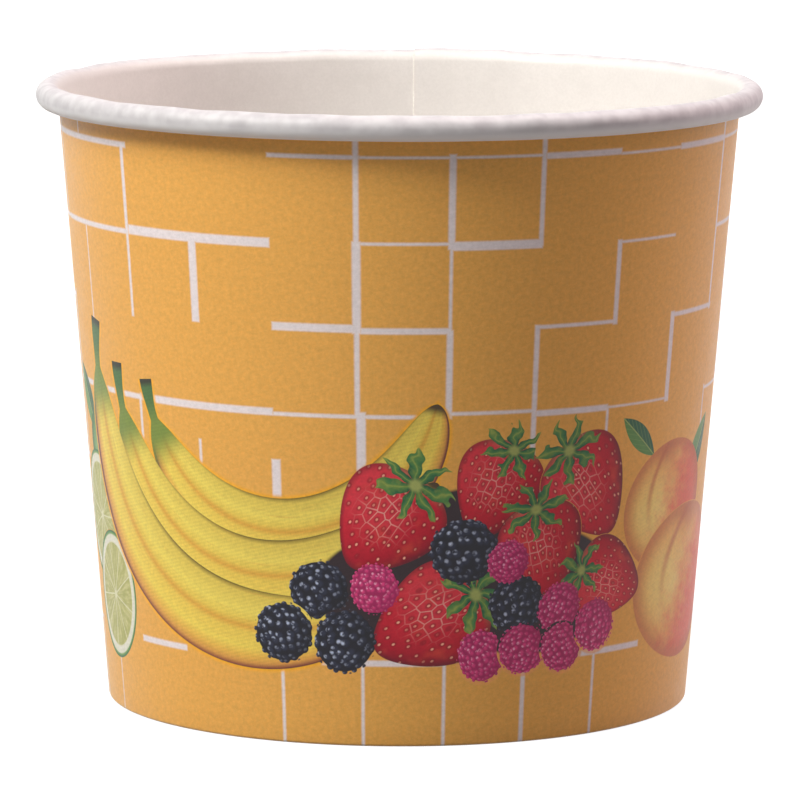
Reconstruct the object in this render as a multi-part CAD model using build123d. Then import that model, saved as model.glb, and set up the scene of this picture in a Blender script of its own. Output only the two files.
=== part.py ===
"""Paper dessert cup, made of two pieces of board, in millimetres.

The origin is on the table under the middle of the cup, +Z is up and -Y is the front.
The side wall is one blank: it is wrapped into a cone with a glued lap at the back, its top edge is
curled outwards into the brim, and its bottom edge is folded in and up to trap the bottom's skirt.
The bottom is a flat disc, raised off the table, with its rim drawn down into that skirt.
"""
from build123d import *
import math
import os

# The cup as a whole
brim_diameter = 96.0
base_diameter = 76.9
cup_height = 81.9

# Board
side_board = 0.38
bottom_board = 0.40

# Brim: the board curls outwards, round and in under itself
brim_roll = 3.35
curl_tuck = 0.32          # how much tighter the inner part of the curl is than the outer part
outer_curl_turn = 236.0   # degrees of curl at the full radius
inner_curl_turn = 140.0   # degrees at the tighter radius, beside the wall, up to the raw edge

# Every bend is made of straight facets, and its middle line stays this close to the true arc
facet_sag = 0.06

# Base: a folded hem round the skirt of the raised bottom
bottom_clearance = 7.0    # table to the underside of the bottom
hem_height = 6.0
fold_radius = 0.06        # inside radius of a crease in the side board
skirt_bend_radius = 0.25  # inside radius where the bottom turns down into its skirt
glue_gap = 0.02           # between two boards that are pressed together
skirt_end_gap = 0.10      # between the skirt's raw edge and the crease under it

# Side seam: two layers for the width of the lap, each standing half a board proud of the wall
lap_width = 11.5
lap_azimuth = 80.0        # middle of the lap, in degrees from +X towards +Y
feather_width = 3.0       # over this width a layer runs back into the single wall
lap_root = 0.10           # how deep a lap layer is bonded into the wall under it

brim_radius = brim_diameter / 2
base_radius = base_diameter / 2
roll_radius = brim_roll / 2
roll_middle = Vector(brim_radius - roll_radius, cup_height - roll_radius)
lap_step = side_board / 2

# The wall leans out by the one angle that makes its inner face run smoothly into the top of the roll.
rise = roll_middle.Y
run = roll_middle.X - base_radius
lean = math.degrees(math.atan2(run, rise) - math.asin((roll_radius - side_board) / math.hypot(run, rise)))
lean_tangent = math.tan(math.radians(lean))
lean_cosine = math.cos(math.radians(lean))
wall_heading = 90.0 - lean


def wall_outer_radius(height):
    """Radius of the wall's printed face at a height above the table."""
    return base_radius + height * lean_tangent


def wall_inner_radius(height):
    """Radius of the wall's inner face at a height above the table."""
    return wall_outer_radius(height) - side_board / lean_cosine


def direction(heading):
    """Unit vector in the section plane, where X is the radius and Y is the height."""
    return Vector(math.cos(math.radians(heading)), math.sin(math.radians(heading)))


def board_section(start, heading, moves, board):
    """Section of a board that is bent along its middle line.

    A move is ("run", length) or ("bend", middle radius, degrees), where degrees turn left when positive.
    """
    left_edges = []
    right_edges = []
    point = start
    for move in moves:
        left = direction(heading + 90.0)
        if move[0] == "run":
            end = point + direction(heading) * move[1]
            left_edges.append(Line(point + left * (board / 2), end + left * (board / 2)))
            right_edges.append(Line(point - left * (board / 2), end - left * (board / 2)))
            point = end
        else:
            radius, turn = move[1], move[2]
            side = math.copysign(1.0, turn)
            centre = point + left * (side * radius)
            facet_turn = 2 * math.degrees(math.acos(max(0.0, 1 - facet_sag / radius)))
            facets = math.ceil(abs(turn) / facet_turn)
            first_ray = heading - side * 90.0
            rays = [direction(first_ray + turn * step / facets) for step in range(facets + 1)]
            for ray, next_ray in zip(rays, rays[1:]):
                for edges, reach in (
                    (left_edges, radius - side * board / 2),
                    (right_edges, radius + side * board / 2),
                ):
                    edges.append(Line(centre + ray * reach, centre + next_ray * reach))
            point = centre + rays[-1] * radius
            heading += turn
    first_cap = Line(left_edges[0] @ 0, right_edges[0] @ 0)
    last_cap = Line(left_edges[-1] @ 1, right_edges[-1] @ 1)
    return make_face([first_cap, last_cap] + left_edges + right_edges)


def spin(face, azimuth=0.0, sweep=360.0):
    """Turn a section about the cup's axis, from an azimuth on and through a sweep."""
    return Rot(0, 0, azimuth) * revolve(Plane.XZ * face, Axis.Z, sweep)


# Middle line of the side blank, from the raw edge of the hem to the raw edge inside the brim
crease_radius = fold_radius + side_board / 2
hem_pocket = bottom_board + 2 * glue_gap
crease_flat = hem_pocket / lean_cosine + side_board / lean_cosine - 2 * crease_radius
wall_foot = Vector(base_radius, 0) + direction(wall_heading + 90.0) * (side_board / 2)
crease_lift = crease_radius * (1 - math.cos(math.radians(wall_heading)))
wall_start_height = side_board / 2 + crease_lift
wall_start = wall_foot + direction(wall_heading) * ((wall_start_height - wall_foot.Y) / lean_cosine)
wall_end = roll_middle + direction(wall_heading + 90.0) * (roll_radius - side_board / 2)
wall_run = (wall_end - wall_start).length

outer_crease_span = crease_radius * math.sin(math.radians(wall_heading))
inner_crease_turn = 180.0 - wall_heading
flat_end = Vector(wall_start.X - outer_crease_span, side_board / 2)
flat_start = flat_end - Vector(crease_flat, 0)
hem_foot = Vector(
    flat_start.X - crease_radius * math.sin(math.radians(inner_crease_turn)),
    side_board / 2 + crease_radius * (1 - math.cos(math.radians(inner_crease_turn))),
)
hem_run = (hem_height - hem_foot.Y) / lean_cosine
hem_top = hem_foot + direction(wall_heading) * hem_run

# The curl goes over the top, down the outside and back under: a facet ends where it turns each time,
# so the brim has its full height and width.
curl_radius = roll_radius - side_board / 2
curl_turns = (wall_heading, 90.0, outer_curl_turn - 90.0 - wall_heading)
side_moves = [
    ("run", hem_run),
    ("bend", crease_radius, inner_crease_turn),
    ("run", crease_flat),
    ("bend", crease_radius, wall_heading),
    ("run", wall_run),
    *(("bend", curl_radius, -turn) for turn in curl_turns),
    ("bend", curl_radius - curl_tuck, -inner_curl_turn),
]
side_wall = spin(board_section(hem_top, wall_heading + 180.0, side_moves, side_board))

# The lap at the back: the inner layer ends in a raw edge on its left, the outer one on its right
lap_top_height = cup_height - brim_roll
lap_angle = math.degrees(lap_width / wall_outer_radius(lap_top_height))
lap_start = lap_azimuth - lap_angle / 2
lap_end = lap_azimuth + lap_angle / 2


def polar(radius, azimuth, height):
    """A point from its radius, azimuth and height."""
    angle = math.radians(azimuth)
    return Vector(radius * math.cos(angle), radius * math.sin(angle), height)


def lap_layer(face_radius, outward, low, high, grow=0.0):
    """One layer of the lap: a band proud of a wall face, and the feather on the side with no raw edge.

    A layer that is grown is the room that the plain one needs in the board pressed against it.
    """
    proud = outward * (lap_step + grow)
    margin = math.degrees(grow / face_radius(low))
    root = -outward * lap_root
    band = make_face(Polyline(
        (face_radius(low) + root, low),
        (face_radius(low) + proud, low),
        (face_radius(high) + proud, high),
        (face_radius(high) + root, high),
        close=True,
    ))
    layer = spin(band, lap_start - margin, lap_angle + 2 * margin)
    turn = outward * math.degrees(feather_width / wall_outer_radius(lap_top_height))
    edge = lap_end + margin if outward > 0 else lap_start - margin
    ends = []
    for height in (low, high):
        radius = face_radius(height)
        ends.append(make_face(Polyline(
            polar(radius + root, edge, height),
            polar(radius + proud, edge, height),
            polar(radius + root, edge + turn, height),
            close=True,
        )))
    return layer + loft(ends, ruled=True)


band_offset = (lap_step - lap_root) / 2
band_moves = [
    *(("bend", roll_radius + band_offset, -turn) for turn in curl_turns),
    ("bend", roll_radius + band_offset - curl_tuck, -inner_curl_turn / 2),
]
roll_band = board_section(
    wall_end + direction(wall_heading + 90.0) * (side_board / 2 + band_offset),
    wall_heading,
    band_moves,
    lap_step + lap_root,
)
lap_low = side_board + fold_radius
inner_layer_top = wall_end.Y + (side_board / 2 + lap_step) * math.sin(math.radians(lean))
inner_layer = lap_layer(wall_inner_radius, -1, lap_low, inner_layer_top)
outer_layer = lap_layer(wall_outer_radius, 1, lap_low, lap_top_height + side_board)
side_wall += inner_layer
side_wall += outer_layer
side_wall += spin(roll_band, lap_start, lap_angle)

# The bottom: half of its section, from the axis out to the bend and down the skirt
skirt_turn = 180.0 - wall_heading
bend_radius = skirt_bend_radius + bottom_board / 2
disc_height = bottom_clearance + bottom_board / 2
skirt_middle_foot = Vector(wall_inner_radius(0), 0) + direction(wall_heading + 90.0) * (
    glue_gap + bottom_board / 2
)
bend_drop = bend_radius * (1 - math.cos(math.radians(skirt_turn)))
skirt_top = skirt_middle_foot + direction(wall_heading) * (
    (disc_height - bend_drop - skirt_middle_foot.Y) / lean_cosine
)
disc_run = skirt_top.X - bend_radius * math.sin(math.radians(skirt_turn))
skirt_run = (skirt_top.Y - side_board - skirt_end_gap) / lean_cosine
bottom_moves = [
    ("run", disc_run),
    ("bend", bend_radius, -skirt_turn),
    ("run", skirt_run),
]
bottom_disc = spin(board_section(Vector(0, disc_height), 0.0, bottom_moves, bottom_board))
bottom_disc -= lap_layer(wall_inner_radius, -1, 0.0, bottom_clearance + 2 * bottom_board, glue_gap)

os.makedirs("parts", exist_ok=True)
for name, shape in (("side_wall", side_wall), ("bottom_disc", bottom_disc)):
    shape.label = name
    export_step(shape, f"parts/{name}.step")
print(f"wall leans out {lean:.2f} degrees, lap {lap_angle:.1f} degrees")
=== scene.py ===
import bmesh
import bpy
import math
from mathutils import Matrix, Vector


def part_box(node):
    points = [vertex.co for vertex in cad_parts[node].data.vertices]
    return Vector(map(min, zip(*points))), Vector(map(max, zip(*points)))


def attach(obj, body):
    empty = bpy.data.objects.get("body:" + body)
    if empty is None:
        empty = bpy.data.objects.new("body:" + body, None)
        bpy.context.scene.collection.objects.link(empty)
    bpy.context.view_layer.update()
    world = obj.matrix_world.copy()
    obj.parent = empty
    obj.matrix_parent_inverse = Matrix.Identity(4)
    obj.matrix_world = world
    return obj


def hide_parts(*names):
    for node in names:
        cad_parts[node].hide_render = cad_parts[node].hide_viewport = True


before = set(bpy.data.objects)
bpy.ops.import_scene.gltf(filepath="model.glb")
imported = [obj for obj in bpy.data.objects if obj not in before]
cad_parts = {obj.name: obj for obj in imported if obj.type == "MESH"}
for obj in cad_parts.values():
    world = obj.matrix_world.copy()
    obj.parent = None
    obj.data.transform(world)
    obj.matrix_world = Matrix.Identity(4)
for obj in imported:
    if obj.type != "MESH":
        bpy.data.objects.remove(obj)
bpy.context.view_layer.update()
print("frame loaded:", sorted(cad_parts))


def ink(red, green, blue):  # a screen colour, 0 to 255, as the linear colour that shaders take
    linear = []
    for value in (red, green, blue):
        share = value / 255
        linear.append(share / 12.92 if share <= 0.04045 else ((share + 0.055) / 1.055) ** 2.4)
    return (*linear, 1.0)


# Node work: one small helper for every tree

class Sketch:
    def __init__(self, tree):
        self.tree = tree

    def add(self, kind, **settings):
        made = self.tree.nodes.new(kind)
        for name, value in settings.items():
            setattr(made, name, value)
        return made

    def plug(self, socket, value):
        if isinstance(value, bpy.types.NodeSocket):
            self.tree.links.new(value, socket)
        else:
            socket.default_value = value

    def feed(self, made, values):   # values in the order of the node's sockets
        for socket, value in zip(made.inputs, values):
            self.plug(socket, value)
        return made.outputs

    def fill(self, made, values):   # values by the names of the node's sockets
        for name, value in values.items():
            self.plug(made.inputs[name], value)
        return made.outputs

    def place(self, group, values):
        return self.fill(self.add("ShaderNodeGroup", node_tree=group), values)

    def close(self, **values):   # what the group gives
        self.fill(self.add("NodeGroupOutput"), values)
        return self.tree

    def math(self, operation, *values):
        return self.feed(self.add("ShaderNodeMath", operation=operation), values)[0]

    def times(self, first, second):
        return self.math("MULTIPLY", first, second)

    def less(self, first, second):
        return self.math("SUBTRACT", first, second)

    def scaled(self, value, factor, start):   # the value times the factor, plus the start
        return self.math("MULTIPLY_ADD", value, factor, start)

    def vector(self, operation, *values):
        outputs = self.feed(self.add("ShaderNodeVectorMath", operation=operation), values)
        return outputs["Value" if operation in ("LENGTH", "DISTANCE", "DOT_PRODUCT") else "Vector"]

    def along(self, vector, axes="xyz"):   # one part of a vector for each axis asked for
        ways = {"x": (1.0, 0.0, 0.0), "y": (0.0, 1.0, 0.0), "z": (0.0, 0.0, 1.0)}
        parts = [self.vector("DOT_PRODUCT", vector, ways[axis]) for axis in axes]
        return parts if len(parts) > 1 else parts[0]

    def join(self, x, y, z=0.0):
        return self.feed(self.add("ShaderNodeCombineXYZ"), (x, y, z))[0]

    def mix(self, factor, under, over, kind="RGBA"):
        made = self.add("ShaderNodeMix", data_type=kind)
        first, second, output = {"FLOAT": (2, 3, 0), "VECTOR": (4, 5, 1), "RGBA": (6, 7, 2)}[kind]
        for place, value in ((0, factor), (first, under), (second, over)):
            self.plug(made.inputs[place], value)
        return made.outputs[output]

    def coat(self, colour, *coats):   # lays each coat, a share and its colour, over the last
        for share, over in coats:
            colour = self.mix(share, colour, over)
        return colour

    def fade(self, value, start, end, low=0.0, high=1.0):
        made = self.add("ShaderNodeMapRange", interpolation_type="SMOOTHSTEP")
        ends = {"From Min": start, "From Max": end, "To Min": low, "To Max": high}
        return self.fill(made, {"Value": value, **ends})[0]

    def ramp(self, value, stops):
        made = self.add("ShaderNodeValToRGB")
        points = made.color_ramp.elements
        while len(points) < len(stops):
            points.new(1.0)
        for point, (place, *colour) in zip(points, stops):
            point.position = place
            point.color = ink(*colour)
        return self.feed(made, [value])[0]

    def noise(self, vector, scale, detail=2.0, roughness=0.5):
        made = self.add("ShaderNodeTexNoise")
        form = {"Scale": scale, "Detail": detail, "Roughness": roughness}
        return self.fill(made, {"Vector": vector, **form})[0]

    def cells(self, vector, scale, randomness, feature="F1"):
        made = self.add("ShaderNodeTexVoronoi", voronoi_dimensions="2D", feature=feature)
        return self.fill(made, {"Vector": vector, "Scale": scale, "Randomness": randomness})["Distance"]

    def bump(self, height, strength, distance, under=None):
        made = self.add("ShaderNodeBump")
        self.fill(made, {"Height": height, "Strength": strength, "Distance": distance})
        if under:
            self.plug(made.inputs["Normal"], under)
        return made.outputs[0]


def newGroup(name, takes, gives):
    group = bpy.data.node_groups.new(name, "ShaderNodeTree")
    for way, sockets in (("INPUT", takes), ("OUTPUT", gives)):
        for title, kind in sockets:
            group.interface.new_socket(title, in_out=way, socket_type="NodeSocket" + kind)
    s = Sketch(group)
    return s, s.add("NodeGroupInput").outputs


def newMaterial(name):
    material = bpy.data.materials.new(name)
    material.use_nodes = True
    return material, Sketch(material.node_tree), material.node_tree.nodes["Principled BSDF"]


# Effects shared by the materials

boardGrain = {
    "fibre": (2600.0, 3.0, 0.6),    # scale, detail and roughness
    "felt": (420.0, 3.0, 0.55),
    "feltTone": 0.6,   # how strongly the felt shows in the tone
}
# Parts of the grain's tone over which a face changes in roughness and in colour
roughTones = (0.2, 0.8)
faceTones = (0.2, 0.85)
edgeTones = (0.3, 0.75)


def buildBoardGrain():
    s, takes = newGroup(
        "boardGrain", [("Fibre", "Float"), ("Felt", "Float")], [("Height", "Float"), ("Tone", "Float")])
    where = s.add("ShaderNodeTexCoord").outputs["Object"]
    fibre = s.noise(where, *boardGrain["fibre"])
    felt = s.less(s.noise(where, *boardGrain["felt"]), 0.5)
    height = s.scaled(felt, takes["Felt"], s.scaled(s.less(fibre, 0.5), takes["Fibre"], 0.5))
    return s.close(Height=height, Tone=s.scaled(felt, boardGrain["feltTone"], fibre))


grainGroup = buildBoardGrain()

# The print. Its map is in millimetres: x along the wall from the middle of the front, y the height.

millimetres = 1000.0   # in a metre
printSize = {
    "frontAzimuth": -90.0,  # where the middle of the front is, in degrees from +X towards +Y
    "reach": 41.0,          # radius at which an angle round the cup becomes millimetres
    "period": 180.0,        # degrees after which the design repeats
    "firstColumn": -68.4,   # degrees
    "columnPitch": 15.49,   # degrees
    "evenColumns": 10,
    "backColumns": (84.4, 98.1),   # degrees, where the tiles are narrower at the sides
    "firstRow": 11.0,
    "rowPitch": 10.9,
}


def columnAt(column):  # where a tile line stands, in millimetres; parts of a column count too
    low = math.floor(column)
    ends = []
    for number in (low, low + 1):
        turns, place = divmod(number, printSize["evenColumns"] + len(printSize["backColumns"]))
        if place < printSize["evenColumns"]:
            angle = printSize["firstColumn"] + place * printSize["columnPitch"]
        else:
            angle = printSize["backColumns"][place - printSize["evenColumns"]]
        ends.append(angle + turns * printSize["period"])
    angle = ends[0] + (ends[1] - ends[0]) * (column - low)
    return math.radians(angle) * printSize["reach"]


def rowAt(row):
    return printSize["firstRow"] + row * printSize["rowPitch"]


# Tile lines: (row, from column, to column, width) and (column, from row, to row, width)
acrossLines = [
    (5.975, -1.2, 1.08, 0.75), (6, 3, 4, 0.54), (6, 4, 6, 0.33), (5.99, 6, 6.95, 0.79),
    (5.963, 6.95, 7.9, 0.33), (5.97, 7.9, 9, 0.79), (5.97, 9, 9.9, 0.4),
    (4.94, -2, -0.8, 0.5), (4.94, -0.8, 1.03, 0.66), (4.97, 1.03, 3, 1.22), (4.99, 4, 4.97, 0.39),
    (4.963, 4.97, 6, 1.16), (4.915, 6.97, 7.93, 0.33), (4.91, 9, 10, 0.53),
    (3.96, -2, -1, 0.6), (3.99, 3, 3.97, 1.05), (3.965, 4, 5, 0.79), (3.975, 5.97, 7.03, 0.47),
    (3.95, 7.98, 9.05, 0.59),
    (2.965, -1, 1.03, 0.7), (2.97, 1.03, 2.98, 0.97), (2.95, 2.98, 5, 0.5), (2.985, 5, 6, 0.46),
    (2.95, 6, 6.97, 0.79), (2.95, 6.97, 8, 0.28), (2.93, 9.1, 10, 0.4),
    (2, 5.5, 6.4, 0.53), (1.95, 8.2, 9.12, 0.79), (2, 10, 11, 0.5), (2, 1.6, 2.3, 0.5),
    (1, 9.1, 10, 0.4), (1, -1, -0.2, 0.6),
    (0, -2, -1, 0.5), (0, 0.72, 1.6, 0.79), (0, 3.5, 4.98, 0.79), (0, 6.7, 7.8, 0.79),
    (0, 9, 10, 0.6),
]
upLines = [
    (0, 5.98, 6.5, 0.26), (0, 2.97, 4.9, 0.28), (1, 4.94, 5.97, 0.58), (1, 3.95, 4.94, 0.46),
    (2.03, 4.02, 4.95, 1.12), (3.96, 5, 6.6, 0.66), (3.96, 3.98, 4.97, 1.05), (3.96, 2.96, 3.95, 0.66),
    (4, 2.1, 2.95, 1.18), (4.98, 4.96, 6, 0.82), (4.98, 3.94, 4.96, 0.39), (4.98, 2.96, 3.94, 0.79),
    (5.98, 4.96, 6.6, 0.59), (5.98, 2, 3.97, 0.68), (7, 3.97, 4.91, 0.7), (8, 2.95, 3.95, 0.9),
    (6.97, 2.1, 2.95, 0.39), (9, 3.93, 6.6, 0.53), (9.1, 2, 2.95, 0.39), (1.03, 2.2, 2.96, 0.46),
    (2, 1.5, 2.55, 0.39), (3, 1.55, 2.35, 1.18), (0, -1.1, 0, 0.26), (3, -1.1, 0, 0.44),
    (4, -1.1, 0, 0.42), (4.98, -1.1, 0, 0.45), (5.98, -1.1, 0, 0.62), (7, -1.1, 0, 0.42),
    (10, 0, 2, 0.6), (10, 2.95, 4.9, 0.9), (11, 2, 4, 0.7), (11, 4.9, 6.6, 0.5), (11, -1.1, 0, 0.5),
    (9, 0, 1, 0.6),
]


def strokeBoxes():
    boxes = []
    for row, start, end, width in acrossLines:
        left, right = columnAt(start), columnAt(end)
        boxes.append(((left + right) / 2, rowAt(row), (right - left) / 2, width / 2))
    for column, start, end, width in upLines:
        low, high = rowAt(start), rowAt(end)
        boxes.append((columnAt(column), (low + high) / 2, width / 2, (high - low) / 2 + width / 2))
    return boxes


strokes = strokeBoxes()


def buildPrintStroke():
    s, takes = newGroup(
        "printStroke",
        [("Vector", "Vector"), ("Centre", "Vector"), ("Half", "Vector"), ("Nearest", "Float")],
        [("Nearest", "Float")])
    away = s.vector("ABSOLUTE", s.vector("SUBTRACT", takes["Vector"], takes["Centre"]))
    x, y = s.along(s.vector("SUBTRACT", away, takes["Half"]), "xy")
    return s.close(Nearest=s.math("MINIMUM", s.math("MAXIMUM", x, y), takes["Nearest"]))


# Stamps carry a fruit's own coordinates, from -1 to 1, to one painter for its kind.
# The third coordinate is a number that tells one fruit's noise from the next one's.

stampTakes = [("Vector", "Vector"), ("Location", "Vector"), ("Rotation", "Vector"), ("Size", "Vector"),
              ("Under", "Vector"), ("Under Edge", "Float")]
fruitTakes = [("Vector", "Vector"), ("Rim", "Float")]
paintGives = [("Color", "Color"), ("Mask", "Float")]


def ownPlace(s, takes):
    turned = s.add("ShaderNodeMapping", vector_type="TEXTURE")
    sockets = {"Vector": "Vector", "Location": "Location", "Rotation": "Rotation", "Scale": "Size"}
    return s.fill(turned, {name: takes[taken] for name, taken in sockets.items()})[0]


def buildPlaceFruit():
    s, takes = newGroup("placeFruit", [*stampTakes, ("Taper", "Float"), ("Under Rim", "Float")],
                        [("Vector", "Vector"), ("Rim", "Float"), ("Edge", "Float")])
    own = ownPlace(s, takes)
    x, y = s.along(own, "xy")
    rim = s.vector("LENGTH", s.join(s.math("DIVIDE", x, s.scaled(y, takes["Taper"], 1.0)), y))
    inside = s.math("LESS_THAN", rim, 1.0)
    gap = s.times(s.less(rim, 1.0), s.along(takes["Size"], "x"))
    return s.close(Vector=s.mix(inside, takes["Under"], own, "VECTOR"),
                   Rim=s.mix(inside, takes["Under Rim"], rim, "FLOAT"),
                   Edge=s.math("MINIMUM", gap, takes["Under Edge"]))


def buildPlaceBanana():
    s, takes = newGroup("placeBanana", [*stampTakes, ("Half Turn", "Float"), ("Half Width", "Float")],
                        [("Vector", "Vector"), ("Edge", "Float")])
    x, y, seed = s.along(ownPlace(s, takes))
    along = s.math("DIVIDE", s.math("ARCTAN2", x, s.times(y, -1.0)), takes["Half Turn"])
    away = s.less(s.vector("LENGTH", s.join(x, y)), 1.0)
    body = s.less(1.0, s.math("POWER", s.math("ABSOLUTE", along), 3.0))
    body = s.math("SQRT", s.math("MAXIMUM", body, 0.000001))
    stalk = s.times(s.math("GREATER_THAN", along, -1.2), s.math("LESS_THAN", along, -0.8))
    flare = s.fade(along, -1.02, -1.2, 0.2, 0.3)
    breadth = s.less(s.math("SMOOTH_MAX", body, s.times(stalk, flare), 0.3), 0.04)
    halfWidth = s.times(takes["Half Width"], breadth)
    across = s.math("DIVIDE", away, halfWidth)
    inside = s.math("LESS_THAN", s.math("ABSOLUTE", across), 1.0)
    gap = s.less(s.math("ABSOLUTE", away), halfWidth)
    past = s.math("MAXIMUM", s.less(s.math("ABSOLUTE", along), 1.0), 0.0)
    gap = s.times(s.math("ADD", gap, s.times(past, s.less(1.0, stalk))), s.along(takes["Size"], "x"))
    return s.close(Vector=s.mix(inside, takes["Under"], s.join(across, along, seed), "VECTOR"),
                   Edge=s.math("MINIMUM", gap, takes["Under Edge"]))


# Painters: each turns a fruit's own coordinates into its colours, and says where it covers

def buildBananaPaint():
    s, takes = newGroup("bananaPaint", [("Vector", "Vector"), ("Edge", "Float")], paintGives)
    across, along, seed = s.along(takes["Vector"])
    bend = s.times(s.less(along, 0.2), s.less(along, 0.2))
    side = s.scaled(bend, 0.06, s.scaled(across, 0.5, 0.5))
    skin = s.ramp(side, [
        (0.0, 92, 82, 40), (0.025, 170, 146, 66), (0.07, 226, 200, 92), (0.3, 241, 219, 104),
        (0.41, 236, 206, 92), (0.49, 226, 172, 74), (0.56, 238, 205, 92), (0.74, 243, 216, 98),
        (0.86, 236, 188, 86), (0.94, 218, 156, 80), (0.985, 150, 88, 64), (1.0, 110, 60, 54),
    ])
    streak = s.noise(s.join(s.times(across, 3.0), along, seed), 4.0, 3.0)
    skin = s.coat(
        skin,
        (s.fade(streak, 0.55, 0.8, 0.0, 0.35), ink(214, 158, 70)),
        (s.fade(along, -0.74, -0.93), ink(122, 142, 62)),
        (s.fade(along, -0.96, -1.12), ink(74, 112, 62)),
        (s.fade(along, -1.15, -1.19), ink(46, 48, 34)),
        (s.fade(along, 0.93, 0.985), ink(74, 58, 38)),
    )
    return s.close(Color=skin, Mask=s.fade(takes["Edge"], 0.05, -0.05))


def buildStrawberryPaint():
    s, takes = newGroup("strawberryPaint", fruitTakes, paintGives)
    x, y, seed = s.along(takes["Vector"])
    flat = s.join(x, y)
    spread = s.join(s.scaled(seed, 3.7, x), s.scaled(y, 0.8, s.times(seed, 5.3)))
    seeds = s.cells(spread, 5.2, 0.6)
    net = s.cells(spread, 5.2, 0.6, "DISTANCE_TO_EDGE")
    light = s.math("ADD", s.times(x, 0.42), s.times(y, -0.3))
    light = s.math("ADD", light, s.times(takes["Rim"], 0.42))
    body = s.ramp(light, [
        (0.0, 222, 60, 74), (0.3, 204, 36, 56), (0.6, 178, 24, 46), (0.9, 98, 16, 34),
    ])
    shine = s.fade(s.vector("DISTANCE", flat, (-0.12, 0.12, 0.0)), 0.72, 0.1)
    mesh = s.times(s.fade(net, 0.075, 0.02), s.times(shine, 0.85))
    fleck = s.times(s.fade(seeds, 0.15, 0.07), s.fade(s.noise(spread, 3.0), 0.3, 0.6))
    body = s.coat(
        body,
        (s.fade(s.noise(flat, 2.2), 0.5, 0.8, 0.0, 0.5), ink(224, 84, 66)),
        (s.fade(seeds, 0.34, 0.16, 0.0, 0.45), ink(128, 18, 34)),
        (mesh, ink(240, 176, 166)),
        (fleck, ink(248, 186, 158)),
        (s.fade(y, 0.72, 1.05, 0.0, 0.6), ink(232, 190, 130)),
        (s.fade(takes["Rim"], 0.86, 1.0, 0.0, 0.6), ink(96, 20, 36)),
    )
    return s.close(Color=body, Mask=s.fade(takes["Rim"], 1.0, 0.985))


def buildBerryPaint():
    s, takes = newGroup("berryPaint", [
        *fruitTakes, ("Beads", "Float"), ("Body", "Color"), ("Shine", "Color"),
        ("Gap", "Color")], paintGives)
    x, y, seed = s.along(takes["Vector"])
    bulge = s.scaled(s.times(takes["Rim"], takes["Rim"]), 0.28, 1.0)
    across = s.scaled(x, bulge, s.times(seed, 2.9))
    spread = s.join(across, s.scaled(y, bulge, s.times(seed, 4.1)))
    beads = s.cells(spread, takes["Beads"], 0.7)
    glints = s.cells(s.vector("ADD", spread, (0.05, -0.055, 0.0)), takes["Beads"], 0.7)
    fleck = s.fade(s.noise(spread, s.times(takes["Beads"], 1.7), 1.0), 0.38, 0.62)
    lean = s.less(s.times(x, 0.5), s.times(y, 0.55))
    dark = s.math("ADD", lean, s.times(takes["Rim"], 0.45))
    lit = s.fade(s.vector("DISTANCE", s.join(x, y), (-0.22, 0.25, 0.0)), 1.15, 0.25, 0.18, 1.0)
    body = s.coat(
        takes["Body"],
        (s.fade(beads, 0.1, 0.62, 0.0, 0.85), takes["Gap"]),
        (s.fade(dark, 0.35, 1.15, 0.0, 0.75), takes["Gap"]),
        (s.times(s.times(s.fade(glints, 0.36, 0.1), fleck), lit), takes["Shine"]),
    )
    outline = s.scaled(s.fade(beads, 0.1, 0.6), 0.09, takes["Rim"])
    return s.close(Color=body, Mask=s.fade(outline, 0.995, 0.97))


def buildCitrusPaint():
    s, takes = newGroup("citrusPaint", fruitTakes, paintGives)
    x, y, seed = s.along(takes["Vector"])
    turn = s.math("ARCTAN2", y, x)
    rays = s.math("ABSOLUTE", s.math("SINE", s.scaled(turn, 4.5, seed)))
    wall = s.times(rays, takes["Rim"])
    pulp = s.noise(s.join(s.times(turn, 3.0), s.times(takes["Rim"], 1.2), seed), 3.0, 3.0)
    flesh = s.mix(s.fade(pulp, 0.35, 0.7), ink(176, 176, 104), ink(206, 202, 142))
    flesh = s.mix(s.fade(wall, 0.07, 0.025), flesh, ink(222, 220, 184))
    rings = s.ramp(takes["Rim"], [
        (0.0, 222, 220, 184), (0.8, 222, 220, 184), (0.83, 232, 230, 216), (0.92, 226, 226, 206),
        (0.94, 122, 160, 84), (0.97, 58, 122, 72), (1.0, 40, 92, 58),
    ])
    inFlesh = s.times(s.fade(takes["Rim"], 0.81, 0.79), s.fade(takes["Rim"], 0.05, 0.09))
    return s.close(Color=s.mix(inFlesh, rings, flesh), Mask=s.fade(takes["Rim"], 1.0, 0.985))


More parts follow.
